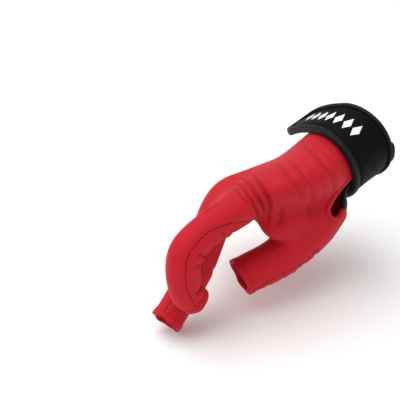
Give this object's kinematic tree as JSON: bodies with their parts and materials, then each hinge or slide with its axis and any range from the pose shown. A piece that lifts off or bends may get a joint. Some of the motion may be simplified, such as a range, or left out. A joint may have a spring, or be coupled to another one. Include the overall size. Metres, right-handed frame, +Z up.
{
  "type": "billiard glove",
  "caption": "Closed-stance billiard glove, worn form: stretch body with open stalls for thumb, index and middle finger, a shared opening, a wrist slit and a wrist strap.",
  "frame": {"origin": "middle of the wrist opening", "axes": "+X towards the wrist side of the longest extent, -X towards the stalls, -Y towards the thumb side that the picture shows, +Z up with the palm turned down"},
  "size_m": [0.1336, 0.123, 0.0985],
  "materials": {
    "cloth_red": "matte",
    "hem_red": "matte",
    "strap_black": "matte",
    "binding_black": "satin",
    "print_white": "matte"
  },
  "bodies": {
    "root": {"back_panel": "cloth_red", "palm_panel": "cloth_red", "index_hem": "hem_red", "middle_hem": "hem_red", "thumb_hem": "hem_red", "pair_hem": "hem_red", "wrist_hem": "hem_red", "slit_hem": "hem_red", "slit_facing": "strap_black", "wrist_strap": "strap_black", "strap_binding": "binding_black", "hook_patch": "strap_black", "strap_diamond_1": "print_white", "strap_diamond_2": "print_white", "strap_diamond_3": "print_white", "strap_diamond_4": "print_white", "strap_diamond_5": "print_white", "strap_diamond_6": "print_white", "strap_diamond_7": "print_white"}
  },
  "joints": []
}
